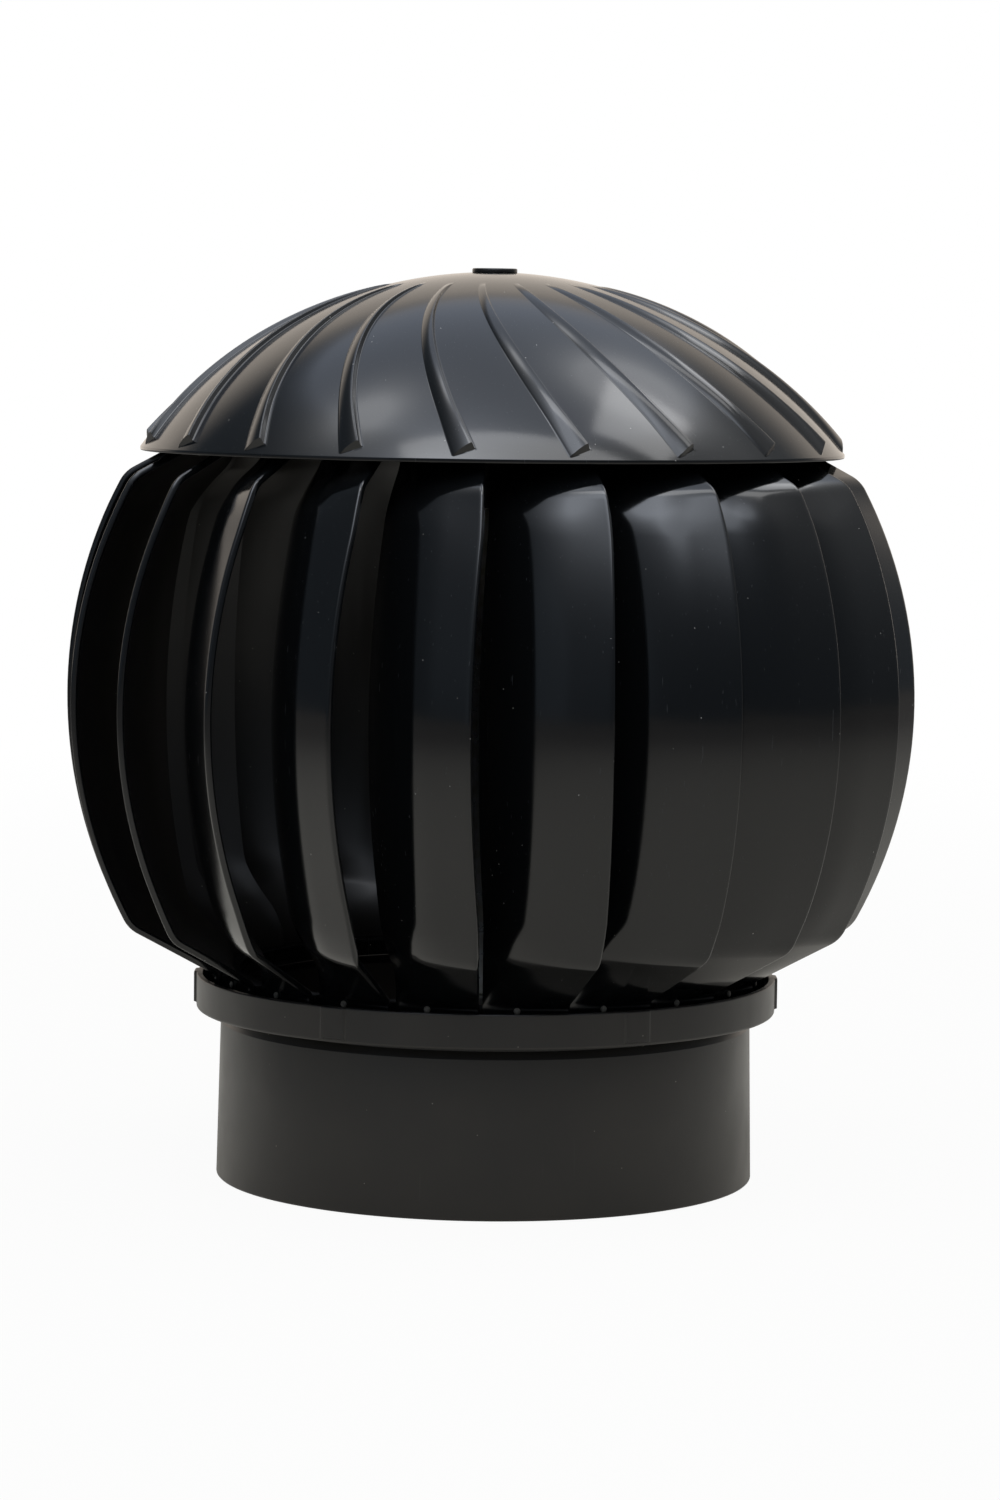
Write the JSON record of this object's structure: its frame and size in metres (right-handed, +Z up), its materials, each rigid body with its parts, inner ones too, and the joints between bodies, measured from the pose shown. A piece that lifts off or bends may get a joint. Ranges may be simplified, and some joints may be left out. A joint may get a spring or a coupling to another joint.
{
  "type": "rotary roof vent cover",
  "caption": "Wind-driven roof vent head: a pipe collar and ring carry a barrel-shaped rotor of bent upright blades under a spiral-ribbed dome.",
  "frame": {"origin": "centre of the collar's bottom edge, on the spin axis", "axes": "+Z up along the spin axis; -Y is the side the picture looks at, +X to its right"},
  "size_m": [0.2526, 0.2526, 0.2698],
  "materials": {
    "gloss_black_plastic": "glossy moulded black, light handling scuffs",
    "satin_black_plastic": "satin moulded black",
    "zinc_plated_steel": "bright zinc plating",
    "bearing_steel": "ground bearing steel"
  },
  "bodies": {
    "base": {"pipe_collar": "satin_black_plastic", "base_ring": "satin_black_plastic", "spider": "satin_black_plastic", "spider_screw_1": "zinc_plated_steel", "spider_screw_2": "zinc_plated_steel", "spider_screw_3": "zinc_plated_steel", "spider_screw_4": "zinc_plated_steel", "axle": "zinc_plated_steel", "axle_washer": "zinc_plated_steel", "axle_nut": "zinc_plated_steel", "bearing_lock_nut": "zinc_plated_steel", "lower_bearing_inner_race": "bearing_steel", "upper_bearing_inner_race": "bearing_steel", "bearing_spacer": "zinc_plated_steel"},
    "rotor": {"rotor_lower_ring": "gloss_black_plastic", "blade_01": "gloss_black_plastic", "blade_02": "gloss_black_plastic", "blade_03": "gloss_black_plastic", "blade_04": "gloss_black_plastic", "blade_05": "gloss_black_plastic", "blade_06": "gloss_black_plastic", "blade_07": "gloss_black_plastic", "blade_08": "gloss_black_plastic", "blade_09": "gloss_black_plastic", "blade_10": "gloss_black_plastic", "blade_11": "gloss_black_plastic", "blade_12": "gloss_black_plastic", "blade_13": "gloss_black_plastic", "blade_14": "gloss_black_plastic", "blade_15": "gloss_black_plastic", "blade_16": "gloss_black_plastic", "blade_17": "gloss_black_plastic", "blade_18": "gloss_black_plastic", "blade_19": "gloss_black_plastic", "blade_20": "gloss_black_plastic", "rotor_top_plate": "gloss_black_plastic", "dome_cap": "gloss_black_plastic", "dome_screw_1": "zinc_plated_steel", "dome_screw_2": "zinc_plated_steel", "dome_screw_3": "zinc_plated_steel", "dome_screw_4": "zinc_plated_steel", "dome_disc": "satin_black_plastic", "lower_bearing_outer_race": "bearing_steel", "upper_bearing_outer_race": "bearing_steel"},
    "lower_balls": {"lower_bearing_ball_cage": "bearing_steel"},
    "upper_balls": {"upper_bearing_ball_cage": "bearing_steel"}
  },
  "joints": [
    {"name": "rotor_spin", "type": "hinge", "parent": "base", "child": "rotor", "pos_m": [0, 0, 0.1423], "axis": [0, 0, 1], "continuous": true},
    {"name": "lower_balls_roll", "type": "hinge", "parent": "base", "child": "lower_balls", "pos_m": [0, 0, 0.2031], "axis": [0, 0, 1], "continuous": true},
    {"name": "upper_balls_roll", "type": "hinge", "parent": "base", "child": "upper_balls", "pos_m": [0, 0, 0.2255], "axis": [0, 0, 1], "continuous": true}
  ],
  "couplings": [
    {"joint": "lower_balls_roll", "follows": "rotor_spin", "ratio": 0.6333},
    {"joint": "upper_balls_roll", "follows": "rotor_spin", "ratio": 0.6333}
  ]
}
